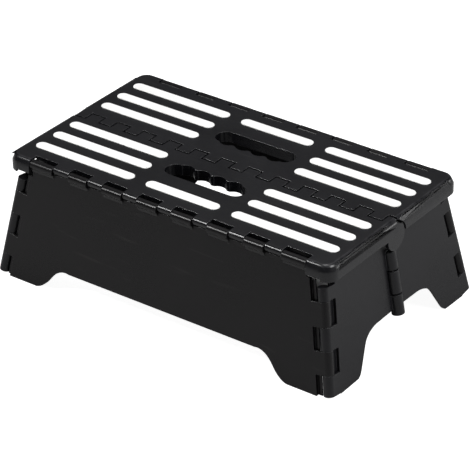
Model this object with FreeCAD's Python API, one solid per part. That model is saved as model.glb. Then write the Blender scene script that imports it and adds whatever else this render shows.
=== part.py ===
# Fold-flat step stool.  Millimetres, +Z up, X along the length, origin on the floor
# under the middle of the standing surface.
import FreeCAD, Part
import math
import os

V = FreeCAD.Vector

# ---- the top: two halves hinged along the middle -----------------------------
TOP_Z = 162.0            # height of the standing surface
HALF_LEN = 236.0
HALF_WID = 134.0
CORNER_R = 17.0          # plan radius of the four corners
SKIRT = 20.8             # depth of the end skirts
CORNER_SKIRT = 17.5      # the skirt is shallower where it turns the corner
CORNER_SKIRT_END = 221.0
PLATE = 3.2              # wall of the top
RIM_IN = 4.3             # sloping rim: how far in and how far down it reaches
RIM_DROP = 9.2

EDGE_Y = 127.0           # side hinge axis
EDGE_DROP = 7.0
EDGE_BAND = 112.0        # the hinge edge starts here
TAB_R = 5.2              # tabs between the side panel barrels
STRIP = 3.0              # upright strip behind the tabs
CENTRE_DROP = 22.0       # centre hinge axis below the surface
EAR_R = 17.0             # round ear that covers the end of the centre hinge
EAR_IN = 230.5           # inner face of the ears
EAR_GAP = 3.0
EAR_SEAM = 3.0           # the seam opens wider beside an ear
EAR_SEAM_X = 222.0
LUG_R = 8.0
LUG_LONG = 14.0
LUG_GAP = 0.4
LUGS = (-165.0, -99.0, -33.0, 33.0, 99.0, 165.0)

RIB = 2.2                # ribs under the top
RIB_DEEP = 8.0
RIB_ROWS = (14.0, 78.5, 111.0)
RIB_STEP = 40.0
SEAM_BAND = 6.0          # the plate is this thick along the seam

HOLE_LONG = 57.0         # hand holes: half length, and the two edges
HOLE_IN = 37.0
HOLE_OUT = 63.0
HOLE_R = 12.9
HOLE_WALL = 2.6
HOLE_DEEP = 14.0
SCOOP_R = 12.3           # finger scoops on the edge that faces the seam
SCOOP_STEP = 23.3
SCOOP_Y = 45.0

TONGUE_PITCH = 39.67     # interlocking teeth along the seam
TONGUE_SHIFT = -6.27
TONGUE_SIDE = 1.0        # side clearance of a tooth
TONGUE_TIP_FRONT = 3.3
TONGUE_TIP_REAR = -8.9
SEAM_GAP = 2.2

GRIP_W = 14.7            # rubber strips: width, height above and below the surface
GRIP_PROUD = 0.7
GRIP_SUNK = 0.6
GRIP_ROUND = 0.3
GRIP_ROWS = (30.7, 62.2, 94.4)
GRIP_IN = 72.4
GRIP_OUT = 220.0
GRIP_MID = 52.5

# ---- the folding sides ----------------------------------------------------------
CORNER_X = 213.2         # corner hinge axis at the level of the surface
CORNER_Y = 118.6
SPREAD_X = 0.18          # outward lean of the corner axis per mm of depth
SPREAD_Y = 0.1494
APEX_UP = 794.0          # all upright hinge axes meet this far above the top
MID_X = 234.0            # end fold axis at MID_DROP below the surface
MID_DROP = 88.0
MID_PROUD = 0.7          # fold axis stands this far outside the end face

BARREL_R = 6.8           # corner barrels
MID_R = 8.0              # end fold barrels
KNUCKLE_R = 5.9          # side panel barrels in the top edge
KNUCKLE_GAP = 0.9        # clearance at each end of a side panel barrel
NOTCH_GAP = 2.9          # clearance behind it
BARREL_GAP = 0.4         # clearance at each end of a corner barrel
FOLD_GAP = 1.0           # clearance at each end of a fold barrel
BODY_EDGE = 13.5         # panel bodies stop this far from a corner axis
SKIN = 3.0
RIM_RIB = 2.4            # stiffening ribs behind a panel
RIM_RIB_IN = 5.6
LEAF_RIB_IN = 6.4
ROOT = 1.0               # how deep a rib is rooted in its wall
BACK_WALL = (0.6, 2.6)   # thin wall that closes the view beside the corner barrels
BACK_EDGE = 7.9          # it stops this far from the corner axis
PIN_R = 1.6
CENTRE_PIN_R = 2.5
RUN = 0.05               # running clearance on a pin
PIN_ROOM = 1.6           # the leaves keep this clear of the centre pin
MID_BORE = 6.1           # wide bore that closes the linkage

SIDE_TOP = 12.2          # drops of the side panel's outline
SHOULDER = 24.5
SHOULDER_X = 200.0
SIDE_RIBS = (-66.0, 0.0, 66.0)
SIDE_RIB_END = 136.0
ARCH_RIB_X = 176.0
ARCH_RIB_TOP = 128.0
LEAF_TOP = 22.0
LEAF_RIBS = (60.0, 100.0)
LEAF_APART = 0.5         # half the gap between two closed leaves

KNUCKLES = ((25.4, 31.0), (77.0, 31.0), (128.5, 29.0), (184.0, 35.0))
CORNER_ENDS = (32.6, 48.6, 78.9, 106.3, 135.2, 160.4)
MID_ENDS = (42.0, 66.5, 96.5, 124.0)

# arches, from the rounded foot to the crown, as distance from the middle and drop
SIDE_ARCH = ((192.0, 165.0), (186.5, 162.1), (181.0, 160.2), (175.6, 156.8), (170.0, 151.8),
             (160.5, 140.0), (151.0, 133.0), (138.0, 131.6))
LEAF_ARCH = ((98.0, 165.0), (92.6, 161.9), (88.4, 159.4), (85.2, 155.6), (81.7, 149.6),
             (74.0, 136.0), (66.0, 124.0), (54.0, 117.6), (40.0, 115.8))

OVER = 5.0               # cutters run this far past what they cut
FAR = 400.0
HINGE_Z = TOP_Z - EDGE_DROP
AXIS_Z = TOP_Z - CENTRE_DROP
EDGE_RUN = KNUCKLES[-1][0] + KNUCKLES[-1][1] / 2


# ---- small helpers --------------------------------------------------------------
def box(x0, x1, y0, y1, z0, z1):
    x0, x1 = sorted((x0, x1))
    y0, y1 = sorted((y0, y1))
    return Part.makeBox(x1 - x0, y1 - y0, z1 - z0, V(x0, y0, z0))


def rod(start, end, radius):
    return Part.makeCylinder(radius, (end - start).Length, start, end - start)


def rod_x(x0, x1, y, z, radius):
    return rod(V(min(x0, x1), y, z), V(max(x0, x1), y, z), radius)


def prism(points, push):
    loop = Part.makePolygon([V(*p) for p in points] + [V(*points[0])])
    return Part.Face(loop).extrude(push)


def fuse(shapes):
    return shapes[0].multiFuse(shapes[1:])


def upright_edges(shape):
    return [e for e in shape.Edges if abs(e.Vertexes[0].Z - e.Vertexes[1].Z) > 1]


def stadium(x0, x1, y, width, z0, z1):
    r = width / 2.0
    ends = [Part.makeCylinder(r, z1 - z0, V(x, y, z0)) for x in (x0 + r, x1 - r)]
    return fuse([box(x0 + r, x1 - r, y - r, y + r, z0, z1)] + ends).removeSplitter()


def half_turn(shape):
    turned = shape.copy()
    turned.rotate(V(0, 0, 0), V(0, 0, 1), 180)
    return turned


def flip_y(shape):
    return shape.mirror(V(0, 0, 0), V(0, 1, 0))


def placed(shape, origin, ex, ey, ez):
    """Move a shape drawn in local axes to its place in the stool."""
    m = FreeCAD.Matrix(ex.x, ey.x, ez.x, origin.x, ex.y, ey.y, ez.y, origin.y,
                       ex.z, ey.z, ez.z, origin.z, 0, 0, 0, 1)
    moved = shape.copy()
    moved.Placement = FreeCAD.Placement(m)
    return moved


def corner_at(drop):
    """Point on the rear right corner axis."""
    return V(CORNER_X + SPREAD_X * drop, CORNER_Y + SPREAD_Y * drop, TOP_Z - drop)


def mid_at(drop):
    """Point on the fold axis of the right end; it leans towards the same apex."""
    apex_x = CORNER_X - SPREAD_X * APEX_UP
    return V(apex_x + (MID_X - apex_x) * (APEX_UP + drop) / (APEX_UP + MID_DROP), 0, TOP_Z - drop)


def save(name, shape):
    solids = shape.Solids
    best = solids[0] if len(solids) == 1 else Part.makeCompound(solids)
    best.exportStep("parts/" + name + ".step")
    print(name, len(solids), "solid(s)", "valid" if shape.isValid() else "INVALID")


# ---- the two halves of the top ----------------------------------------------------
def plan_wire(inset, z):
    slab = box(-HALF_LEN + inset, HALF_LEN - inset, -HALF_WID + inset, HALF_WID - inset, z, z + SKIRT)
    slab = slab.makeFillet(CORNER_R - inset, upright_edges(slab))
    lowest = [f for f in slab.Faces if f.BoundBox.ZMax < z + 0.01]
    return lowest[0].OuterWire


def rimmed_block(inset, z0, z1):
    """Block with the plan of the top and a sloping rim all round."""
    lower = Part.Face(plan_wire(inset, z0)).extrude(V(0, 0, z1 - RIM_DROP - z0))
    slope = Part.makeLoft([plan_wire(inset, z1 - RIM_DROP), plan_wire(inset + RIM_IN, z1)], True, True)
    return lower.fuse(slope)


def tongues():
    return [TONGUE_SHIFT + TONGUE_PITCH * k for k in range(-6, 7)]


def seam_keep(front):
    """The part of plan view that belongs to one half, with its tongues."""
    z0, z1 = TOP_Z - 60, TOP_Z + OVER
    far = HALF_LEN + OVER
    quarter = TONGUE_PITCH / 4
    centres = tongues()
    if front:
        region = [box(-far, far, -HALF_WID - OVER, TONGUE_TIP_REAR - SEAM_GAP, z0, z1)]
        for c in centres[1:]:
            x1 = far if c == centres[-1] else c + quarter - TONGUE_SIDE
            x0 = c - quarter + TONGUE_SIDE
            region.append(box(x0, x1, TONGUE_TIP_REAR - OVER, TONGUE_TIP_FRONT, z0, z1))
        return fuse(region)
    region = [box(-far, far, TONGUE_TIP_FRONT + SEAM_GAP, HALF_WID + OVER, z0, z1)]
    for c in centres[:-1]:
        x0 = -far if c == centres[0] else c + quarter + TONGUE_SIDE
        x1 = c + 3 * quarter - TONGUE_SIDE
        region.append(box(x0, x1, TONGUE_TIP_REAR, TONGUE_TIP_FRONT + OVER, z0, z1))
    return fuse(region)


def handle_cutter(s, grow, z0, z1):
    core = box(-HOLE_LONG - grow, HOLE_LONG + grow, HOLE_IN - grow, HOLE_OUT + grow, z0, z1)
    core = core.makeFillet(HOLE_R + grow, upright_edges(core))
    scoops = [Part.makeCylinder(SCOOP_R + grow, z1 - z0, V(SCOOP_STEP * k, SCOOP_Y, z0))
              for k in (-1.5, -0.5, 0.5, 1.5)]
    cutter = fuse([core] + scoops).removeSplitter()
    return cutter if s > 0 else half_turn(cutter)


def lug(front, centre):
    """Hinge lug under the seam; its barrel sits on the centre axis."""
    s = -1 if front else 1
    x0 = centre - LUG_LONG - LUG_GAP if front else centre + LUG_GAP
    web = [(x0, s * 7, AXIS_Z - 3), (x0, s * 32, TOP_Z - 2), (x0, s * 12, TOP_Z - 2), (x0, s * 3, AXIS_Z + 6)]
    barrel = rod_x(x0, x0 + LUG_LONG, 0, AXIS_Z, LUG_R)
    return barrel.fuse(prism(web, V(LUG_LONG, 0, 0)))


def hinge_edge(s):
    """The long edge: round tabs, the plate behind them and an upright strip."""
    tab = rod_x(-EDGE_RUN, EDGE_RUN, s * (EDGE_Y - EDGE_DROP + TAB_R), TOP_Z - TAB_R, TAB_R)
    plate = box(-EDGE_RUN, EDGE_RUN, s * EDGE_BAND, s * (EDGE_Y - EDGE_DROP + TAB_R), TOP_Z - TAB_R, TOP_Z)
    strip = box(-EDGE_RUN, EDGE_RUN, s * EDGE_BAND, s * (EDGE_BAND + STRIP), TOP_Z - 2 * TAB_R, TOP_Z - ROOT)
    return [tab, plate, strip]


def top_ribs(s):
    z0, z1 = TOP_Z - RIB_DEEP, TOP_Z - ROOT
    seam_in, seam_out = -s * 12.0, s * RIB_ROWS[0]
    ribs = [box(-HALF_LEN + OVER, HALF_LEN - OVER, seam_in, seam_out, TOP_Z - SEAM_BAND, z1)]
    for y in RIB_ROWS:
        ribs.append(box(-HALF_LEN + PLATE, HALF_LEN - PLATE, s * y, s * (y + RIB), z0, z1))
    for k in range(-5, 6):
        x = k * RIB_STEP
        ribs.append(box(x - RIB / 2, x + RIB / 2, s * RIB_ROWS[0], s * EDGE_BAND, z0, z1))
    return ribs


def grip_spans(s):
    spans = []
    for y in GRIP_ROWS:
        spans.append((-GRIP_OUT, -GRIP_IN, s * y))
        spans.append((GRIP_IN, GRIP_OUT, s * y))
    spans.append((-GRIP_MID, GRIP_MID, s * GRIP_ROWS[-1]))
    return spans


def make_top(front):
    s = -1 if front else 1
    z0 = TOP_Z - SKIRT
    shell = rimmed_block(0, z0, TOP_Z).cut(rimmed_block(PLATE, z0 - OVER, TOP_Z - PLATE))
    # the long edge carries tabs instead of a skirt
    edge_out = s * (HALF_WID + OVER)
    shell = shell.cut(box(-EDGE_RUN, EDGE_RUN, s * EDGE_BAND, edge_out, z0 - OVER, HINGE_Z))
    shell = shell.cut(box(-EDGE_RUN, EDGE_RUN, s * (EDGE_Y - 2), edge_out, z0 - OVER, TOP_Z + OVER))
    shell = shell.cut(box(-CORNER_SKIRT_END, CORNER_SKIRT_END, s * EDGE_BAND, edge_out, z0 - OVER,
                          TOP_Z - CORNER_SKIRT))
    wall = handle_cutter(s, HOLE_WALL, TOP_Z - HOLE_DEEP, TOP_Z - ROOT)
    top = fuse([shell, wall] + hinge_edge(s) + top_ribs(s))
    top = top.cut(handle_cutter(s, 0, TOP_Z - 20, TOP_Z + OVER))
    top = top.common(seam_keep(front))
    top = top.fuse([lug(front, c) for c in LUGS])

    # this half's ear is at one end, and the room for the other half's ear at the other
    own = -s
    ear = rod_x(own * EAR_IN, own * HALF_LEN, 0, AXIS_Z, EAR_R)
    strap = box(own * EAR_IN, own * HALF_LEN, 0, s * 30.0, AXIS_Z + 0.5, TOP_Z - 3)
    form = rimmed_block(0, AXIS_Z - 2 * EAR_R, TOP_Z)
    top = top.fuse([ear.common(form), strap.common(form)])
    past_end = -own * (HALF_LEN + OVER)
    top = top.cut(rod_x(-own * (EAR_IN - 1), past_end, 0, AXIS_Z, EAR_R + EAR_GAP))
    tip = TONGUE_TIP_REAR if front else TONGUE_TIP_FRONT
    top = top.cut(box(-own * EAR_SEAM_X, past_end, tip, tip + s * EAR_SEAM, AXIS_Z, TOP_Z + OVER))

    # notches for the side panel barrels, bores and grip grooves
    cuts = []
    for sign in (-1, 1):
        for centre, width in KNUCKLES:
            x0, x1 = sign * centre - width / 2, sign * centre + width / 2
            cuts.append(box(x0, x1, s * (EDGE_Y - KNUCKLE_R - NOTCH_GAP), edge_out, z0 - OVER, TOP_Z + OVER))
    cuts.append(rod_x(-EDGE_RUN - 6, EDGE_RUN + 6, s * EDGE_Y, HINGE_Z, PIN_R))
    bore = CENTRE_PIN_R if front else CENTRE_PIN_R + RUN
    cuts.append(rod_x(-HALF_LEN + 2.5, HALF_LEN - 2.5, 0, AXIS_Z, bore))
    for x0, x1, y in grip_spans(s):
        cuts.append(stadium(x0, x1, y, GRIP_W, TOP_Z - GRIP_SUNK, TOP_Z + 2))
    return top.cut(fuse(cuts))


def make_grip(x0, x1, y):
    grip = stadium(x0, x1, y, GRIP_W, TOP_Z - GRIP_SUNK, TOP_Z + GRIP_PROUD)
    rim = [e for e in grip.Edges if min(v.Z for v in e.Vertexes) > TOP_Z + GRIP_PROUD - 0.01]
    return grip.makeFillet(GRIP_ROUND, rim)


# ---- shapes that the side panels and the end leaves share --------------------------
def arch_cutter(points, push, to_world):
    """Arch opening: rounded feet, smooth shoulders, level crown."""
    left = [to_world(-a, d) for a, d in points]
    right = [to_world(a, d) for a, d in reversed(points)]
    first = Part.BSplineCurve()
    first.interpolate(left)
    second = Part.BSplineCurve()
    second.interpolate(right)
    edges = [first.toShape(), Part.makeLine(left[-1], right[0]), second.toShape(),
             Part.makeLine(right[-1], left[0])]
    return Part.Face(Part.Wire(edges)).extrude(push)


def corner_line(sign, drop):
    p = corner_at(drop)
    return V(sign * p.x, p.y, p.z)


def corner_barrel(sign, d0, d1, inward, out):
    """Barrel about a corner axis plus the arm that joins it to a panel body."""
    a, b = corner_line(sign, d0), corner_line(sign, d1)
    along = (b - a).normalize()
    reach = (inward - along * inward.dot(along)).normalize()
    face = along.cross(reach)
    y0, y1 = BARREL_R - SKIN - 0.2, BARREL_R
    if face.dot(out) < 0:
        y0, y1 = -y1, -y0
    arm = BODY_EDGE + 2
    local = prism([(0, y0, 0), (arm, y0, 0), (arm, y1, 0), (0, y1, 0)], V(0, 0, (b - a).Length))
    return rod(a, b, BARREL_R).fuse(placed(local, a, reach, face, along))


def corner_pin(sign, radius):
    return rod(corner_line(sign, CORNER_ENDS[0] + 1.5), corner_line(sign, CORNER_ENDS[-1] - 4), radius)


# ---- long side panels -----------------------------------------------------------
def panel_edge(drop, inset):
    return CORNER_X + SPREAD_X * drop - inset


def side_slab(points, n0, n1):
    """Flat piece of the leaning rear panel, from points given as x and drop."""
    stretch = math.hypot(1, SPREAD_Y)
    flat = [(u, d * stretch, n0) for u, d in points]
    down = V(0, SPREAD_Y, -1).normalize()
    out = V(0, 1, SPREAD_Y).normalize()
    return placed(prism(flat, V(0, 0, n1 - n0)), V(0, CORNER_Y, TOP_Z), V(1, 0, 0), down, out)


def side_ribs():
    n0, n1 = BARREL_R - RIM_RIB_IN, BARREL_R - ROOT
    foot = TOP_Z + 2
    head = SHOULDER + 1.5
    ribs = []
    for sign in (-1, 1):
        for edge, low, high in ((BODY_EDGE, n0, n1), (BACK_EDGE, *BACK_WALL)):
            outer = [(sign * panel_edge(d, edge), d) for d in (head, foot)]
            inner = [(sign * panel_edge(d, BODY_EDGE + RIM_RIB), d) for d in (foot, head)]
            ribs.append(side_slab(outer + inner, low, high))
    spans = [(u - RIM_RIB / 2, u + RIM_RIB / 2, 20.0, SIDE_RIB_END) for u in SIDE_RIBS]
    spans.append((-SHOULDER_X, SHOULDER_X, SIDE_TOP, SIDE_TOP + RIM_RIB))
    spans.append((-ARCH_RIB_X, ARCH_RIB_X, ARCH_RIB_TOP, ARCH_RIB_TOP + RIM_RIB))
    for u0, u1, d0, d1 in spans:
        ribs.append(side_slab([(u0, d0), (u1, d0), (u1, d1), (u0, d1)], n0, n1))
    return ribs


def side_barrels():
    """Barrels in the top edge, each on a web that joins it to the panel."""
    barrels = []
    root_z = TOP_Z - SIDE_TOP - 5
    for sign in (-1, 1):
        for centre, width in KNUCKLES:
            x0 = sign * centre - width / 2 + KNUCKLE_GAP
            x1 = sign * centre + width / 2 - KNUCKLE_GAP
            barrels.append(rod_x(x0, x1, EDGE_Y, HINGE_Z, KNUCKLE_R))
            web = [(x0, 121.6, HINGE_Z), (x0, 131.0, HINGE_Z), (x0, 128.3, root_z), (x0, 124.6, root_z)]
            barrels.append(prism(web, V(x1 - x0, 0, 0)))
    return barrels


def make_side():
    """Rear side panel; the front one is the same part turned round."""
    foot = TOP_Z + 2
    outline = [(-SHOULDER_X, SIDE_TOP), (SHOULDER_X, SIDE_TOP), (SHOULDER_X, SHOULDER),
               (panel_edge(SHOULDER, BODY_EDGE), SHOULDER), (panel_edge(foot, BODY_EDGE), foot),
               (-panel_edge(foot, BODY_EDGE), foot), (-panel_edge(SHOULDER, BODY_EDGE), SHOULDER),
               (-SHOULDER_X, SHOULDER)]
    parts = [side_slab(outline, BARREL_R - SKIN - 0.2, BARREL_R)] + side_ribs() + side_barrels()
    out = V(0, 1, SPREAD_Y).normalize()
    for sign in (-1, 1):
        for a, b in ((1, 2), (3, 4)):
            d0, d1 = CORNER_ENDS[a] + BARREL_GAP, CORNER_ENDS[b] - BARREL_GAP
            parts.append(corner_barrel(sign, d0, d1, V(-sign, 0, 0), out))
    side = fuse(parts)
    arch = arch_cutter(SIDE_ARCH, V(0, 60, 0), lambda a, d: V(a, 110, TOP_Z - d))
    below = box(-FAR, FAR, 0, 200, -20, 0)
    pins = [rod_x(-EDGE_RUN - 9, EDGE_RUN + 9, EDGE_Y, HINGE_Z, PIN_R + RUN)]
    pins += [corner_pin(sign, PIN_R + RUN) for sign in (-1, 1)]
    return side.cut(arch).cut(below).cut(fuse(pins))


# ---- folding end panels ---------------------------------------------------------
def leaf_frame():
    """Local axes of the rear leaf at +X: along the corner, across, and out."""
    along = (corner_at(150) - corner_at(0)).normalize()
    across = mid_at(MID_DROP) - corner_at(MID_DROP)
    across = across - along * across.dot(along)
    width = across.Length
    across.normalize()
    out = across.cross(along)
    out = out if out.x > 0 else out * -1
    tilt = math.asin((BARREL_R + MID_PROUD) / width)
    turned = out * math.cos(tilt) + across * math.sin(tilt)
    face_across = turned.cross(along)
    face_across = face_across if face_across.dot(across) > 0 else face_across * -1
    return along, face_across, turned


def make_leaf(middle):
    """Rear leaf of the +X end; middle picks which fold barrels it carries."""
    along, across, out = leaf_frame()

    def body(n0, n1, trim, low_y, high_drop, far=190):
        edge = BODY_EDGE + trim
        flat = [(edge, -20, n0), (far, -20, n0), (far, 200, n0), (edge, 200, n0)]
        shape = placed(prism(flat, V(0, 0, n1 - n0)), corner_at(0), across, along, out)
        return shape.common(box(0, FAR, low_y, FAR, 0, TOP_Z - high_drop))

    face = BARREL_R
    solid = body(face - LEAF_RIB_IN, face - ROOT, 0, LEAF_APART, LEAF_TOP)
    inner = body(face - 20, face + OVER, RIM_RIB, LEAF_APART + RIM_RIB, LEAF_TOP + RIM_RIB)
    parts = [body(face - SKIN, face, 0, LEAF_APART, LEAF_TOP), solid.cut(inner)]
    parts.append(body(*BACK_WALL, BACK_EDGE - BODY_EDGE, LEAF_APART, LEAF_TOP, BODY_EDGE + RIM_RIB))
    for drop in LEAF_RIBS:
        level = TOP_Z - drop
        parts.append(solid.common(box(0, FAR, 0, FAR, level - RIB / 2, level + RIB / 2)))
    for a, b in ((0, 1), (2, 3), (4, 5)):
        parts.append(corner_barrel(1, CORNER_ENDS[a], CORNER_ENDS[b], across, out))
    arch = arch_cutter(LEAF_ARCH, V(150, 0, 0), lambda a, d: V(150, a, TOP_Z - d))
    leaf = fuse(parts).cut(arch).cut(box(0, FAR, -10, FAR, -20, 0))
    leaf = leaf.cut(rod_x(150, FAR, 0, AXIS_Z, CENTRE_PIN_R + PIN_ROOM))

    # fold barrels: this leaf's own, and room for the other leaf's
    spans = list(zip(MID_ENDS, MID_ENDS[1:]))
    own = spans[1:2] if middle else spans[0::2]
    other = spans[0::2] if middle else spans[1:2]
    for d0, d1 in other:
        leaf = leaf.cut(rod(mid_at(d0 - FOLD_GAP), mid_at(d1 + FOLD_GAP), MID_R + 0.8))
    leaf = fuse([leaf] + [rod(mid_at(d0 + FOLD_GAP), mid_at(d1 - FOLD_GAP), MID_R) for d0, d1 in own])
    bore = MID_BORE if middle else PIN_R
    leaf = leaf.cut(rod(mid_at(MID_ENDS[0] - OVER), mid_at(MID_ENDS[3] + OVER), bore))
    return leaf.cut(corner_pin(1, PIN_R))


def mid_pin():
    return rod(mid_at(MID_ENDS[0] + 2), mid_at(MID_ENDS[3] - 2), PIN_R)


# ---- write every piece -------------------------------------------------------------
def save_tops():
    names = ("left_inner", "right_inner", "left_mid", "right_mid", "left_outer", "right_outer", "centre")
    for side, s in (("front", -1), ("rear", 1)):
        save("top_" + side, make_top(side == "front"))
        for name, (x0, x1, y) in zip(names, grip_spans(s)):
            save("grip_" + side + "_" + name, make_grip(x0, x1, y))
        save("pin_edge_" + side, rod_x(-EDGE_RUN - 5, EDGE_RUN + 5, s * EDGE_Y, HINGE_Z, PIN_R))
    save("pin_centre", rod_x(-HALF_LEN + 3, HALF_LEN - 3, 0, AXIS_Z, CENTRE_PIN_R))


def save_sides():
    side = make_side()
    save("side_rear", side)
    save("side_front", half_turn(side))


def save_ends():
    plain, carrier = make_leaf(True), flip_y(make_leaf(False))
    save("end_right_rear", plain)
    save("end_left_front", half_turn(plain))
    save("end_right_front", carrier)
    save("end_left_rear", half_turn(carrier))
    save("pin_fold_right", mid_pin())
    save("pin_fold_left", half_turn(mid_pin()))
    pin = corner_pin(1, PIN_R)
    save("pin_corner_right_rear", pin)
    save("pin_corner_left_front", half_turn(pin))
    save("pin_corner_right_front", flip_y(pin))
    save("pin_corner_left_rear", half_turn(flip_y(pin)))


os.makedirs("parts", exist_ok=True)
save_tops()
save_sides()
save_ends()
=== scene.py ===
# %% [markdown]
# # A fold-flat step stool
# This lesson dresses a low folding stool. It is moulded in black plastic: two top halves are
# hinged along the middle, two long side panels hang from the long edges, and the four end
# leaves fold inwards. Pale rubber strips are set into the top. A fixed frame already holds
# every part at its true size, so we load that first. Every piece that we make then sits on
# one of its bodies and folds with it.

import math

import bmesh
import bpy
from mathutils import Matrix, Vector


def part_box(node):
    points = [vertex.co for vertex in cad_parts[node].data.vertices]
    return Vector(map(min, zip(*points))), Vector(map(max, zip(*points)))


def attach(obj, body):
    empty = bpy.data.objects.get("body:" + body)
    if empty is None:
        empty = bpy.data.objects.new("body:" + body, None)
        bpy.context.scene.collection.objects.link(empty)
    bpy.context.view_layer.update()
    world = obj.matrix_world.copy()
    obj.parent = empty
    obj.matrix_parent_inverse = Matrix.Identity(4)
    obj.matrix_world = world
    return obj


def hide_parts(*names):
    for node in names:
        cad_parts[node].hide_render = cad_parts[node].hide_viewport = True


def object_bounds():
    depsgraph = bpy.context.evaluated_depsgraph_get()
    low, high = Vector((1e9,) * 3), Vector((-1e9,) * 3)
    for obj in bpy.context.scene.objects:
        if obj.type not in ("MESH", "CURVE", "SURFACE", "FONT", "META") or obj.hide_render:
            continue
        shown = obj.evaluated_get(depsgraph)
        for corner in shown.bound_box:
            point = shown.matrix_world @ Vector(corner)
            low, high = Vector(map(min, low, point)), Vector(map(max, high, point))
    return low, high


MM = 0.001
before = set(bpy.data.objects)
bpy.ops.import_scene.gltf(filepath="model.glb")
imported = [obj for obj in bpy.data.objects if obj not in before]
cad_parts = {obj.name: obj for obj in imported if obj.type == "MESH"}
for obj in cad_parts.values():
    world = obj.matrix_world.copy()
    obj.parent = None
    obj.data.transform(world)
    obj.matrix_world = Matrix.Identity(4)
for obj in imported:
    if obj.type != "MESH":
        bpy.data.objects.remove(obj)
cad_low, cad_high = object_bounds()
print("stool in mm:", [round((high - low) / MM) for low, high in zip(cad_low, cad_high)])

# %% [markdown]
# ## The camera
# A product view of a stool is taken from above one corner with a long lens, so that the
# level edges stay nearly parallel. We state the view as an angle round the stool, a height
# angle, a slight tilt and a distance, because those are what we change when we set up a
# camera. The view is set first, because it decides which surfaces need the most care.

# %% Camera
VIEW_ROUND = math.radians(36.81)
VIEW_UP = math.radians(30.42)
VIEW_TILT = math.radians(-0.863)
VIEW_DISTANCE = 2.968
VIEW_CENTRE = Vector((0.1044, -0.1332, 0.1624))
LENS_LENGTH = 200.8        # millimetres, on a sensor of this width
SENSOR_WIDTH = 36.0


def add_camera():
    """Place the camera on a sphere round the view centre."""
    turn = (Matrix.Rotation(VIEW_ROUND, 3, "Z") @ Matrix.Rotation(math.pi / 2 - VIEW_UP, 3, "X")
            @ Matrix.Rotation(VIEW_TILT, 3, "Z"))
    lens = bpy.data.cameras.new("camera")
    lens.lens = LENS_LENGTH
    lens.sensor_width = SENSOR_WIDTH
    camera = bpy.data.objects.new("camera", lens)
    bpy.context.collection.objects.link(camera)
    camera.rotation_mode = "QUATERNION"
    camera.rotation_quaternion = turn.to_quaternion()
    camera.location = VIEW_CENTRE + turn @ Vector((0, 0, VIEW_DISTANCE))
    bpy.context.scene.camera = camera
    return camera


print("camera at", [round(v, 3) for v in add_camera().location])

# %% [markdown]
# ## Small node helpers
# A shader is easier to read when each line makes one node or one sum. These helpers make a
# node, join it up and do arithmetic, and they work in a material and in a node group alike.

# %% Node helpers


def add_node(tree, kind, inputs=None, **settings):
    """Make a node, change its settings, then fill or link its inputs by name."""
    made = tree.nodes.new(kind)
    for key, value in settings.items():
        setattr(made, key, value)
    for key, value in (inputs or {}).items():
        feed(tree, value, made.inputs[key])
    return made


def feed(tree, value, socket):
    """Link an output to a socket, or set a plain value on it."""
    if isinstance(value, bpy.types.NodeSocket):
        tree.links.new(value, socket)
    else:
        socket.default_value = value


def sums(tree, operation, *values, clamp=False):
    """One step of arithmetic on outputs and plain numbers."""
    made = add_node(tree, "ShaderNodeMath", operation=operation, use_clamp=clamp)
    for socket, value in zip(made.inputs, values):
        feed(tree, value, socket)
    return made.outputs[0]


def blend_colours(tree, amount, first, second):
    mixer = add_node(tree, "ShaderNodeMix", {"Factor": amount, "A": first, "B": second}, data_type="RGBA")
    return mixer.outputs["Result"]


def rescale(tree, value, low, high, new_low, new_high):
    """Stretch one range of values onto another, held at both ends."""
    limits = {"Value": value, "From Min": low, "From Max": high, "To Min": new_low, "To Max": new_high}
    return add_node(tree, "ShaderNodeMapRange", limits).outputs["Result"]


def new_group(name, kind, inputs, outputs):
    """A node group with named sockets, returned with its input and output nodes."""
    tree = bpy.data.node_groups.new(name, kind)
    for label, socket_type, default in inputs:
        socket = tree.interface.new_socket(label, in_out="INPUT", socket_type=socket_type)
        if default is not None:
            socket.default_value = default
    for label, socket_type in outputs:
        tree.interface.new_socket(label, in_out="OUTPUT", socket_type=socket_type)
    return tree, tree.nodes.new("NodeGroupInput").outputs, tree.nodes.new("NodeGroupOutput").inputs


def use_group(tree, group, **values):
    """Place a shader group in a material and give it its own values."""
    placed = add_node(tree, "ShaderNodeGroup", node_tree=group)
    for key, value in values.items():
        feed(tree, value, placed.inputs[key.replace("_", " ").title()])
    return placed.outputs


# %% [markdown]
# ## Shader group: moulded grain
# The steel of a mould is etched, so the plastic comes out with a fine, even grain. Under it
# the melt has cooled unevenly, which shows as slow, soft changes in gloss. Noise at two
# scales gives both. It is a group, because the top, the panels and the rubber all use it
# with their own scales.

# %% Moulded grain


def build_grain():
    tree, given, result = new_group(
        "moulded grain", "ShaderNodeTree",
        [("Vector", "NodeSocketVector", None), ("Grain", "NodeSocketFloat", 900.0),
         ("Flow", "NodeSocketFloat", 9.0)],
        [("Height", "NodeSocketFloat"), ("Speckle", "NodeSocketFloat"), ("Cloud", "NodeSocketFloat")],
    )
    pits = add_node(tree, "ShaderNodeTexVoronoi", {"Vector": given["Vector"], "Scale": given["Grain"]})
    fuzz = add_node(tree, "ShaderNodeTexNoise",
                    {"Vector": given["Vector"], "Scale": given["Grain"], "Detail": 3.0, "Roughness": 0.65})
    cloud = add_node(tree, "ShaderNodeTexNoise",
                     {"Vector": given["Vector"], "Scale": given["Flow"], "Detail": 4.0, "Distortion": 0.8})
    both = sums(tree, "ADD", pits.outputs["Distance"], fuzz.outputs["Fac"])
    feed(tree, sums(tree, "MULTIPLY", both, 0.5), result["Height"])
    feed(tree, rescale(tree, fuzz.outputs["Fac"], 0.3, 0.7, 0.0, 1.0), result["Speckle"])
    feed(tree, rescale(tree, cloud.outputs["Fac"], 0.3, 0.7, 0.0, 1.0), result["Cloud"])
    return tree


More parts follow.
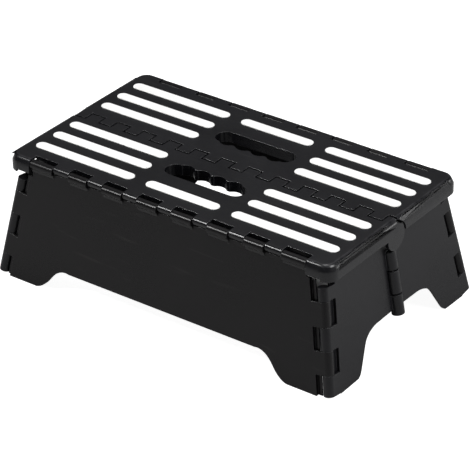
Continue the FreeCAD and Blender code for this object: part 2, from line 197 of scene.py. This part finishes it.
GRAIN = build_grain()
print("grain gives", [item.name for item in GRAIN.interface.items_tree if item.in_out == "OUTPUT"])

# %% [markdown]
# ## Shader group: rubbed edges
# Feet, floors and hands polish a stool's edges until they turn paler. Cycles can guess an
# edge from the mesh, but the guess smears over large faces. Instead, when we round an edge
# we mark its new faces with an attribute called worn, and this group breaks that mark up
# with noise so that the rubbing comes and goes.

# %% Rubbed edges


def build_rubbing():
    tree, given, result = new_group(
        "rubbed edges", "ShaderNodeTree",
        [("Vector", "NodeSocketVector", None), ("Patches", "NodeSocketFloat", 60.0),
         ("Amount", "NodeSocketFloat", 0.6)],
        [("Mask", "NodeSocketFloat")],
    )
    worn = add_node(tree, "ShaderNodeAttribute", attribute_name="worn")
    patches = add_node(tree, "ShaderNodeTexNoise",
                       {"Vector": given["Vector"], "Scale": given["Patches"], "Detail": 4.0})
    broken = rescale(tree, patches.outputs["Fac"], 0.38, 0.66, 0.15, 1.0)
    mask = sums(tree, "MULTIPLY", worn.outputs["Fac"], broken)
    feed(tree, sums(tree, "MULTIPLY", mask, given["Amount"], clamp=True), result["Mask"])
    return tree


RUBBING = build_rubbing()
print("rubbing takes", [item.name for item in RUBBING.interface.items_tree if item.in_out == "INPUT"])

# %% [markdown]
# ## Shader group: scuffs and dust
# Black plastic shows every pale scratch and every grain of dust. Scratches are long and thin,
# so we stretch a noise a great deal along one way and keep only its highest crests. A second
# stretch at another angle keeps them from looking combed.

# %% Scuffs and dust
SCRATCH_RUNS = ((0.5, (9.0, 420.0, 90.0)), (-0.9, (14.0, 520.0, 70.0)))    # angle and stretch


def build_scuffs():
    tree, given, result = new_group(
        "scuffs and dust", "ShaderNodeTree",
        [("Vector", "NodeSocketVector", None), ("Scuffs", "NodeSocketFloat", 0.5),
         ("Dust", "NodeSocketFloat", 0.3)],
        [("Scratch", "NodeSocketFloat"), ("Dust", "NodeSocketFloat")],
    )
    crests = []
    for angle, stretch in SCRATCH_RUNS:
        turned = add_node(tree, "ShaderNodeMapping",
                          {"Vector": given["Vector"], "Rotation": (0.2, 0.3, angle), "Scale": stretch})
        streak = add_node(tree, "ShaderNodeTexNoise",
                          {"Vector": turned.outputs["Vector"], "Scale": 1.0, "Detail": 2.0})
        crests.append(rescale(tree, streak.outputs["Fac"], 0.68, 0.78, 0.0, 1.0))
    scratch = sums(tree, "MAXIMUM", *crests)
    feed(tree, sums(tree, "MULTIPLY", scratch, given["Scuffs"]), result["Scratch"])
    specks = add_node(tree, "ShaderNodeTexNoise",
                      {"Vector": given["Vector"], "Scale": 380.0, "Detail": 5.0})
    drift = add_node(tree, "ShaderNodeTexNoise",
                     {"Vector": given["Vector"], "Scale": 14.0, "Detail": 2.0})
    fallen = sums(tree, "MULTIPLY", rescale(tree, specks.outputs["Fac"], 0.55, 0.75, 0.0, 1.0),
                  drift.outputs["Fac"])
    feed(tree, sums(tree, "MULTIPLY", fallen, given["Dust"]), result["Dust"])
    return tree


SCUFFS = build_scuffs()
print("scuffs and dust built with", len(SCUFFS.nodes), "nodes")

# %% [markdown]
# ## Black moulded plastic
# The stool is satin polypropylene. It isn't a pure black: it is a very dark grey, a little
# blue, and most of what we see on it is reflected light. The standing surface has a coarse
# etched grain that spreads its shine, and all other faces are smoother and glossier. One
# function makes every version of the plastic. A mask of faces that look straight up decides
# where the coarse grain goes.

# %% Plastic material
RUBBED_TINT = (0.075, 0.075, 0.080, 1.0)
DUST_TINT = (0.22, 0.21, 0.20, 1.0)
RUBBED_PATCHES = 70.0
RUBBED_AMOUNT = 0.35
PLASTIC_IOR = 1.49
PLASTIC_FLOW = 8.0
LOOKS_UP = (0.90, 0.98)    # upward part of a normal: the etched grain fades in between these


def plastic(name, dark, light, smooth, coarse, shine, grain, scuffs, dust):
    """Black plastic: smooth and coarse are the roughness of plain and of etched faces."""
    material = bpy.data.materials.new(name)
    material.use_nodes = True
    tree = material.node_tree
    shader = tree.nodes["Principled BSDF"]
    where = add_node(tree, "ShaderNodeTexCoord").outputs
    surface = use_group(tree, GRAIN, vector=where["Object"], grain=grain, flow=PLASTIC_FLOW)
    rubbed = use_group(tree, RUBBING, vector=where["Object"], patches=RUBBED_PATCHES,
                       amount=RUBBED_AMOUNT)
    marks = use_group(tree, SCUFFS, vector=where["Object"], scuffs=scuffs, dust=dust)
    facing = add_node(tree, "ShaderNodeSeparateXYZ", {"Vector": where["Normal"]}).outputs["Z"]
    etched = rescale(tree, facing, *LOOKS_UP, 0.0, 1.0)

    colour = blend_colours(tree, surface["Cloud"], (*dark, 1.0), (*light, 1.0))
    speck = sums(tree, "MULTIPLY", surface["Speckle"], sums(tree, "MULTIPLY", etched, 0.12))
    colour = blend_colours(tree, speck, colour, RUBBED_TINT)
    colour = blend_colours(tree, rubbed["Mask"], colour, RUBBED_TINT)
    colour = blend_colours(tree, marks["Scratch"], colour, DUST_TINT)
    colour = blend_colours(tree, sums(tree, "MULTIPLY", marks["Dust"], etched), colour, DUST_TINT)
    feed(tree, colour, shader.inputs["Base Color"])

    base = rescale(tree, etched, 0.0, 1.0, smooth, coarse)
    cloudy = sums(tree, "MULTIPLY_ADD", surface["Cloud"], 0.08, base)
    fine = sums(tree, "MULTIPLY_ADD", surface["Speckle"], 0.06, cloudy)
    polished = sums(tree, "MULTIPLY_ADD", rubbed["Mask"], -0.12, fine, clamp=True)
    feed(tree, polished, shader.inputs["Roughness"])

    depth = rescale(tree, etched, 0.0, 1.0, 0.12, 0.5)
    height = sums(tree, "MULTIPLY", surface["Height"], depth)
    height = sums(tree, "SUBTRACT", height, sums(tree, "MULTIPLY", marks["Scratch"], 0.3))
    bump = add_node(tree, "ShaderNodeBump", {"Height": height, "Strength": 0.6, "Distance": 0.25 * MM})
    feed(tree, bump.outputs["Normal"], shader.inputs["Normal"])
    shader.inputs["IOR"].default_value = PLASTIC_IOR
    shader.inputs["Specular IOR Level"].default_value = shine
    return material


# Painted light and shade: one plastic in three copies, with base colours set apart for how light falls on
# each part; the top is darkest, the end leaves lightest.
TOP_PLASTIC_PAINTED_SHADE = plastic("top plastic, painted shade", dark=(0.0030, 0.0030, 0.0040), light=(0.0052, 0.0052, 0.0066),
                      smooth=0.20, coarse=0.38, shine=0.42, grain=1000.0, scuffs=0.06, dust=0.05)
SIDE_PLASTIC_PAINTED_SHADE = plastic("side panel plastic, painted shade", dark=(0.0040, 0.0036, 0.0040), light=(0.0062, 0.0057, 0.0063),
                       smooth=0.22, coarse=0.34, shine=0.24, grain=800.0, scuffs=0.03, dust=0.05)
END_PLASTIC_PAINTED_LIGHT = plastic("end leaf plastic, painted light", dark=(0.0056, 0.0055, 0.0066), light=(0.0082, 0.0081, 0.0096),
                      smooth=0.22, coarse=0.34, shine=0.28, grain=800.0, scuffs=0.03, dust=0.06)
print("plastics:", TOP_PLASTIC_PAINTED_SHADE.name, SIDE_PLASTIC_PAINTED_SHADE.name, END_PLASTIC_PAINTED_LIGHT.name)

# %% [markdown]
# ## White grip rubber
# The strips are a soft rubber with a matt face. Their top is brushed with very fine cross
# ribs, which grip a shoe. They stay bright, with faint grey where dirt settles in the grain.

# %% Grip rubber
GRIP_DIRT = (0.52, 0.51, 0.49, 1.0)


def grip_rubber():
    material = bpy.data.materials.new("grip rubber")
    material.use_nodes = True
    tree = material.node_tree
    shader = tree.nodes["Principled BSDF"]
    where = add_node(tree, "ShaderNodeTexCoord").outputs
    surface = use_group(tree, GRAIN, vector=where["Object"], grain=1500.0, flow=25.0)
    marks = use_group(tree, SCUFFS, vector=where["Object"], scuffs=0.10, dust=0.25)
    colour = blend_colours(tree, surface["Cloud"], (0.88, 0.88, 0.87, 1.0), (0.94, 0.94, 0.935, 1.0))
    colour = blend_colours(tree, marks["Dust"], colour, GRIP_DIRT)
    colour = blend_colours(tree, marks["Scratch"], colour, GRIP_DIRT)
    feed(tree, colour, shader.inputs["Base Color"])
    feed(tree, rescale(tree, surface["Speckle"], 0.0, 1.0, 0.5, 0.7), shader.inputs["Roughness"])
    ribs = add_node(tree, "ShaderNodeTexWave",
                    {"Vector": where["Object"], "Scale": 320.0, "Distortion": 0.3})
    height = sums(tree, "ADD", sums(tree, "MULTIPLY", ribs.outputs["Fac"], 0.6), surface["Height"])
    bump = add_node(tree, "ShaderNodeBump", {"Height": height, "Strength": 0.4, "Distance": 0.15 * MM})
    feed(tree, bump.outputs["Normal"], shader.inputs["Normal"])
    return material


GRIP_RUBBER = grip_rubber()
print("grip rubber has", len(GRIP_RUBBER.node_tree.nodes), "nodes")

# %% [markdown]
# ## Drawn wire for the pins
# The hinge pins are cut from drawn steel wire. Drawing leaves fine lines along the wire, and
# handling dulls it in patches. The pins are plain straight rods, so the frame's own shapes
# are right as they are and only need this finish.

# %% Pin steel


def drawn_wire():
    material = bpy.data.materials.new("drawn wire")
    material.use_nodes = True
    tree = material.node_tree
    shader = tree.nodes["Principled BSDF"]
    where = add_node(tree, "ShaderNodeTexCoord").outputs
    surface = use_group(tree, GRAIN, vector=where["Object"], grain=2500.0, flow=60.0)
    colour = blend_colours(tree, surface["Cloud"], (0.38, 0.38, 0.39, 1.0), (0.60, 0.60, 0.61, 1.0))
    feed(tree, colour, shader.inputs["Base Color"])
    shader.inputs["Metallic"].default_value = 1.0
    feed(tree, rescale(tree, surface["Speckle"], 0.0, 1.0, 0.25, 0.45), shader.inputs["Roughness"])
    bump = add_node(tree, "ShaderNodeBump",
                    {"Height": surface["Height"], "Strength": 0.25, "Distance": 0.1 * MM})
    feed(tree, bump.outputs["Normal"], shader.inputs["Normal"])
    return material


WIRE = drawn_wire()
pins = [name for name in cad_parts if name.startswith("pin")]
for name in pins:
    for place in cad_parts[name].material_slots:
        place.material = WIRE
print("pins in drawn wire:", len(pins))

# %% [markdown]
# ## Mouldings with rounded edges
# No moulded edge is truly sharp: the tool has small radii, and each one catches a thin line
# of light. The shapes exist already as nodes of the frame, made of loose triangles. We copy
# one, weld it, merge its flat triangles into whole faces, and give every edge that turns by
# more than a set angle a weight. A Bevel modifier rounds each edge by its weight, and the rim
# of the top has the widest rounding. A Weighted Normal modifier then keeps the large faces
# looking flat. The copy takes the node's place.

# %% Moulding helper
EDGE_ROUND = 0.45 * MM
RIM_ROUND = 3.0 * MM
SHARP_TURN = math.radians(35)
RIM_TURN = math.radians(75)    # the rim meets the top at less than this
FLAT_TURN = math.radians(0.5)
ROUND_STEPS = 3
WELD = 0.002 * MM
PLAIN, ROUNDED = 0, 1      # material slots of plain faces and of rounded edges


def weigh_edges(bm):
    """Ask for a narrow rounding on sharp edges and a wide one where the rim meets the top."""
    weights = bm.edges.layers.float.new("bevel_weight_edge")
    highest = max(vertex.co.z for vertex in bm.verts)
    for edge in bm.edges:
        turn = edge.calc_face_angle(0.0)
        on_top = min(vertex.co.z for vertex in edge.verts) > highest - 0.1 * MM
        if turn > SHARP_TURN:
            edge[weights] = 1.0 if on_top and turn < RIM_TURN else EDGE_ROUND / RIM_ROUND


def welded_copy(node, name):
    """The node's mesh as whole faces with shared corners, in a new object."""
    bm = bmesh.new()
    bm.from_mesh(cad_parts[node].data)
    bmesh.ops.remove_doubles(bm, verts=bm.verts, dist=WELD)
    bmesh.ops.dissolve_limit(bm, angle_limit=FLAT_TURN, verts=bm.verts, edges=bm.edges)
    weigh_edges(bm)
    mesh = bpy.data.meshes.new(name)
    bm.to_mesh(mesh)
    bm.free()
    piece = bpy.data.objects.new(name, mesh)
    bpy.context.collection.objects.link(piece)
    return piece


def make_plain(piece):
    """Replace the piece's mesh with what its modifiers make, and drop them."""
    graph = bpy.context.evaluated_depsgraph_get()
    mesh = bpy.data.meshes.new_from_object(piece.evaluated_get(graph))
    piece.modifiers.clear()
    piece.data = mesh
    return mesh


def keep_inside(mesh, node):
    """Hold every point in the node's own box, where a rounding has pushed past it."""
    low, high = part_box(node)
    for vertex in mesh.vertices:
        vertex.co = [min(max(value, a), b) for value, a, b in zip(vertex.co, low, high)]


def moulding(node, name):
    """A finished copy of one node: rounded edges, with the worn mark on the new faces."""
    piece = welded_copy(node, name)
    for _ in (PLAIN, ROUNDED):
        piece.data.materials.append(TOP_PLASTIC_PAINTED_SHADE)
    piece.data.shade_smooth()
    bevel = piece.modifiers.new("rounding", "BEVEL")
    bevel.width = RIM_ROUND
    bevel.segments = ROUND_STEPS
    bevel.limit_method = "WEIGHT"
    bevel.use_clamp_overlap = False
    bevel.material = ROUNDED
    weighted = piece.modifiers.new("flat faces", "WEIGHTED_NORMAL")
    weighted.weight = 100
    mesh = make_plain(piece)
    keep_inside(mesh, node)
    worn = mesh.attributes.new("worn", "FLOAT", "FACE")
    for index, face in enumerate(mesh.polygons):
        worn.data[index].value = float(face.material_index == ROUNDED)
        face.material_index = PLAIN
    return piece


def fit(piece, body, slot, material, *nodes):
    """Finish a piece and fix it to a body, in place of the nodes that it stands for."""
    piece.data.materials.clear()
    piece.data.materials.append(material)
    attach(piece, body)
    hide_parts(*nodes)
    triangles = sum(len(face.vertices) - 2 for face in piece.data.polygons)
    print(piece.name, "on", body, "with", triangles, "triangles")


print("edges rounded by", EDGE_ROUND / MM, "mm and the rim by", RIM_ROUND / MM, "mm")

# %% [markdown]
# ## The two halves of the top
# Each half is one moulding: the plate, its sloping rim, the round tabs of the hinge edge, the
# teeth along the seam, the hand hole and the ribs below.

# %% Top halves
SIDES = ("front", "rear")
for side in SIDES:
    half = "top_" + side
    fit(moulding(half, half + "_moulding"), half, "black_plastic", TOP_PLASTIC_PAINTED_SHADE, half)

# %% [markdown]
# ## Side panels and end leaves
# The panels and leaves are thin mouldings with ribs behind and hinge barrels on their edges.
# They share the top's way of rounding. Each kind has its own copy of the plastic, and the base colours
# differ only to stand in for light: the end leaves are painted lighter and the side panels and top darker.

# %% Side panels
for side in SIDES:
    panel = "side_" + side
    fit(moulding(panel, panel + "_panel"), panel, "black_plastic", SIDE_PLASTIC_PAINTED_SHADE, panel)

# %% End leaves
for end in ("right", "left"):
    for side in SIDES:
        leaf = "end_" + end + "_" + side
        fit(moulding(leaf, leaf + "_leaf"), leaf, "black_plastic", END_PLASTIC_PAINTED_LIGHT, leaf)

# %% [markdown]
# ## Grip strips by Geometry Nodes
# The strips repeat seven times on each half, in two lengths. So we describe one strip as a
# rule: a rectangle with its corners rounded until the ends are half circles, filled, raised,
# and topped with a slightly smaller face. Geometry Nodes puts a copy at each point of a tiny
# mesh, and the points carry the length that they need. The points come from the frame.

# %% Geometry node helpers


def geometry_group(name, inputs):
    sockets = [("Geometry", "NodeSocketGeometry", None), *inputs,
               ("Material", "NodeSocketMaterial", None)]
    return new_group(name, "GeometryNodeTree", sockets, [("Geometry", "NodeSocketGeometry")])


def run_nodes(piece, group, values):
    """Run a node tree on a piece, with its inputs set by identifier, and keep the mesh."""
    modifier = piece.modifiers.new(group.name, "NODES")
    modifier.node_group = group
    for item in group.interface.items_tree:
        if item.in_out == "INPUT" and item.name in values:
            modifier[item.identifier] = values[item.name]
    return make_plain(piece)


def point_piece(name, points, **attributes):
    """A mesh of bare points, each with its own named values."""
    mesh = bpy.data.meshes.new(name)
    mesh.from_pydata(points, [], [])
    for label, numbers in attributes.items():
        layer = mesh.attributes.new(label, "FLOAT", "POINT")
        for index, number in enumerate(numbers):
            layer.data[index].value = number
    piece = bpy.data.objects.new(name, mesh)
    bpy.context.collection.objects.link(piece)
    return piece


# %% Strip tree
STRIP_CORNER_STEPS = 12
NEARLY_HALF = 0.4999       # keeps the two rounded corners of an end from meeting


def narrower(tree, size, rim):
    """How far a size shrinks when a rim comes off both its ends."""
    taken = sums(tree, "MULTIPLY", rim, 2.0)
    return sums(tree, "DIVIDE", sums(tree, "SUBTRACT", size, taken), size)


def strip_shape(tree, given, length):
    """One strip: a rounded outline, filled, raised, and finished with a softened rim."""
    outline = add_node(tree, "GeometryNodeCurvePrimitiveQuadrilateral",
                       {"Width": length, "Height": given["Width"]})
    half_width = sums(tree, "MULTIPLY", given["Width"], NEARLY_HALF)
    rounded = add_node(tree, "GeometryNodeFilletCurve",
                       {"Curve": outline.outputs["Curve"], "Radius": half_width,
                        "Count": STRIP_CORNER_STEPS}, mode="POLY")
    filled = add_node(tree, "GeometryNodeFillCurve", {"Curve": rounded.outputs["Curve"]}, mode="NGONS")
    wall_height = sums(tree, "SUBTRACT", given["Height"], given["Rim"])
    wall = add_node(tree, "GeometryNodeExtrudeMesh",
                    {"Mesh": filled.outputs["Mesh"], "Offset Scale": wall_height, "Individual": False})
    rim = add_node(tree, "GeometryNodeExtrudeMesh",
                   {"Mesh": wall.outputs["Mesh"], "Selection": wall.outputs["Top"],
                    "Offset Scale": given["Rim"], "Individual": False})
    place = add_node(tree, "GeometryNodeInputPosition").outputs["Position"]
    slim = narrower(tree, given["Width"], given["Rim"])
    short = narrower(tree, length, given["Rim"])
    shrink = add_node(tree, "ShaderNodeCombineXYZ", {"X": short, "Y": slim, "Z": 1.0})
    smaller = add_node(tree, "ShaderNodeVectorMath", operation="MULTIPLY")
    feed(tree, place, smaller.inputs[0])
    feed(tree, shrink.outputs["Vector"], smaller.inputs[1])
    narrowed = add_node(tree, "GeometryNodeSetPosition",
                        {"Geometry": rim.outputs["Mesh"], "Selection": rim.outputs["Top"],
                         "Position": smaller.outputs["Vector"]})
    lid = add_node(tree, "GeometryNodeFlipFaces", {"Mesh": filled.outputs["Mesh"]})
    closed = add_node(tree, "GeometryNodeJoinGeometry")
    tree.links.new(narrowed.outputs["Geometry"], closed.inputs["Geometry"])
    tree.links.new(lid.outputs["Mesh"], closed.inputs["Geometry"])
    return closed.outputs["Geometry"]


def build_strips():
    tree, given, result = geometry_group(
        "grip strips", [("Long", "NodeSocketFloat", 0.15), ("Short", "NodeSocketFloat", 0.10),
                        ("Width", "NodeSocketFloat", 0.015), ("Height", "NodeSocketFloat", 0.0013),
                        ("Rim", "NodeSocketFloat", 0.0003)])
    is_short = add_node(tree, "GeometryNodeInputNamedAttribute", {"Name": "short"}, data_type="FLOAT")
    kinds = ((given["Long"], "LESS_THAN"), (given["Short"], "GREATER_THAN"))
    gathered = add_node(tree, "GeometryNodeJoinGeometry")
    for length, test in kinds:
        chosen = sums(tree, test, is_short.outputs["Attribute"], 0.5)
        copies = add_node(tree, "GeometryNodeInstanceOnPoints",
                          {"Points": given["Geometry"], "Selection": chosen,
                           "Instance": strip_shape(tree, given, length)})
        tree.links.new(copies.outputs["Instances"], gathered.inputs["Geometry"])
    real = add_node(tree, "GeometryNodeRealizeInstances", {"Geometry": gathered.outputs["Geometry"]})
    welded = add_node(tree, "GeometryNodeMergeByDistance",
                      {"Geometry": real.outputs["Geometry"], "Distance": 0.01 * MM})
    painted = add_node(tree, "GeometryNodeSetMaterial",
                       {"Geometry": welded.outputs["Geometry"], "Material": given["Material"]})
    feed(tree, painted.outputs["Geometry"], result["Geometry"])
    return tree


STRIPS = build_strips()
print("strip inputs:", [item.name for item in STRIPS.interface.items_tree if item.in_out == "INPUT"])

# %% Grip strips on both halves


def grip_strips(side):
    nodes = [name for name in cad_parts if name.startswith("grip_" + side)]
    boxes = [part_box(name) for name in nodes]
    spans = [high.x - low.x for low, high in boxes]
    points = [((low.x + high.x) / 2, (low.y + high.y) / 2, low.z) for low, high in boxes]
    long, short = max(spans), min(spans)
    piece = point_piece("grips_" + side, points, short=[float(span < (long + short) / 2) for span in spans])
    low, high = boxes[0]
    run_nodes(piece, STRIPS, {"Long": long, "Short": short, "Width": high.y - low.y,
                              "Height": high.z - low.z, "Rim": 0.3 * MM, "Material": GRIP_RUBBER})
    piece.data.shade_smooth()
    piece.data.set_sharp_from_angle(angle=math.radians(30))
    fit(piece, "top_" + side, "grip_rubber", GRIP_RUBBER, *nodes)


for side in SIDES:
    grip_strips(side)

# %% [markdown]
# ## Floor and light
# A product table is a large white sheet under soft lamps. The floor is a plain pale plane.
# The surroundings light the stool only dimly, so that black plastic keeps its dark bands,
# and five soft lamps draw its shapes: one from the right, one over the back, one overhead
# for the white strips, a low one behind the right end for the rim, and a narrow one at the
# front left that runs a bright line along each rounded edge. The paper is lifted towards white
# only where we look at it directly, and not deep under the stool, which stays dark.

# %% Floor
WHITE = (1.0, 1.0, 1.0, 1.0)
FLOOR_GREY = (0.54, 0.54, 0.54, 1.0)
FLOOR_LIFT = 0.95
FLOOR_REACH = 6.0
FLOOR_GAP = 0.3 * MM
LIFT_STARTS = 80 * MM      # the lift starts this far inside the stool's outline
LIFT_FULL = 55 * MM        # and is full here


def floor_paper():
    """Pale paper, lifted to full white for the camera but not deep under the stool.

    Its back is clear, so that the stool can be looked at from below."""
    paper = bpy.data.materials.new("floor paper")
    paper.use_nodes = True
    tree = paper.node_tree
    shader = tree.nodes["Principled BSDF"]
    shader.inputs["Base Color"].default_value = FLOOR_GREY
    shader.inputs["Roughness"].default_value = 0.9
    where = add_node(tree, "ShaderNodeTexCoord").outputs["Object"]
    place = add_node(tree, "ShaderNodeSeparateXYZ", {"Vector": where}).outputs
    outside = 0.0
    for axis, reach in (("X", cad_high.x), ("Y", cad_high.y)):
        distance = sums(tree, "ABSOLUTE", place[axis])
        beyond = rescale(tree, distance, reach - LIFT_STARTS, reach - LIFT_FULL, 0.0, 1.0)
        outside = sums(tree, "MAXIMUM", outside, beyond)
    seen = add_node(tree, "ShaderNodeLightPath").outputs["Is Camera Ray"]
    lift = sums(tree, "MULTIPLY", outside, sums(tree, "MULTIPLY", seen, FLOOR_LIFT))
    feed(tree, lift, shader.inputs["Emission Strength"])
    shader.inputs["Emission Color"].default_value = WHITE
    from_below = add_node(tree, "ShaderNodeNewGeometry").outputs["Backfacing"]
    clear = add_node(tree, "ShaderNodeBsdfTransparent")
    choice = add_node(tree, "ShaderNodeMixShader", {"Fac": from_below})
    tree.links.new(shader.outputs[0], choice.inputs[1])
    tree.links.new(clear.outputs[0], choice.inputs[2])
    tree.links.new(choice.outputs[0], tree.nodes["Material Output"].inputs["Surface"])
    return paper


def add_floor():
    bm = bmesh.new()
    bmesh.ops.create_grid(bm, x_segments=2, y_segments=2, size=FLOOR_REACH)
    mesh = bpy.data.meshes.new("floor")
    bm.to_mesh(mesh)
    bm.free()
    floor = bpy.data.objects.new("floor", mesh)
    floor.location.z = cad_low.z - FLOOR_GAP
    bpy.context.collection.objects.link(floor)
    mesh.materials.append(floor_paper())
    return floor


print("floor at", round(add_floor().location.z / MM, 2), "mm")

# %% Surroundings
SURROUND = 0.05


def add_surroundings():
    """White behind the stool, but only a dim light on it."""
    world = bpy.data.worlds.new("studio")
    world.use_nodes = True
    tree = world.node_tree
    straight = add_node(tree, "ShaderNodeLightPath").outputs["Is Camera Ray"]
    dim = tree.nodes["Background"]
    dim.inputs["Color"].default_value = WHITE
    dim.inputs["Strength"].default_value = SURROUND
    bright = add_node(tree, "ShaderNodeBackground", {"Color": WHITE, "Strength": 1.0})
    choice = add_node(tree, "ShaderNodeMixShader", {"Fac": straight})
    tree.links.new(dim.outputs[0], choice.inputs[1])
    tree.links.new(bright.outputs[0], choice.inputs[2])
    tree.links.new(choice.outputs[0], tree.nodes["World Output"].inputs["Surface"])
    bpy.context.scene.world = world


add_surroundings()
print("surroundings at", SURROUND, "of white")

# %% Lamps


def soft_lamp(name, round_angle, up_angle, distance, size, power):
    """A rectangular soft lamp on a sphere round the stool, facing its middle."""
    lamp = bpy.data.lights.new(name, "AREA")
    lamp.shape = "RECTANGLE"
    lamp.size, lamp.size_y = size
    lamp.energy = power
    holder = bpy.data.objects.new(name, lamp)
    a, e = math.radians(round_angle), math.radians(up_angle)
    away = Vector((math.sin(a) * math.cos(e), -math.cos(a) * math.cos(e), math.sin(e)))
    holder.location = away * distance
    holder.rotation_mode = "QUATERNION"
    holder.rotation_quaternion = away.to_track_quat("Z", "Y")
    bpy.context.collection.objects.link(holder)
    return holder


# name, angle round the stool, angle up, distance, size, watts
LAMPS = (
    ("right lamp", 95, 42, 2.6, (1.2, 1.2), 44),
    ("back lamp", 215, 62, 2.6, (1.6, 1.0), 4),
    ("top lamp", 0, 86, 2.8, (1.0, 1.0), 22),
    ("rim lamp", 134, 12, 2.8, (1.2, 0.6), 12),
    ("front strip", -40, 44, 2.4, (0.12, 0.5), 30),
)
lamps = [soft_lamp(*row) for row in LAMPS]
bpy.context.scene.view_settings.view_transform = "Standard"
print("lamps:", [lamp.name for lamp in lamps])
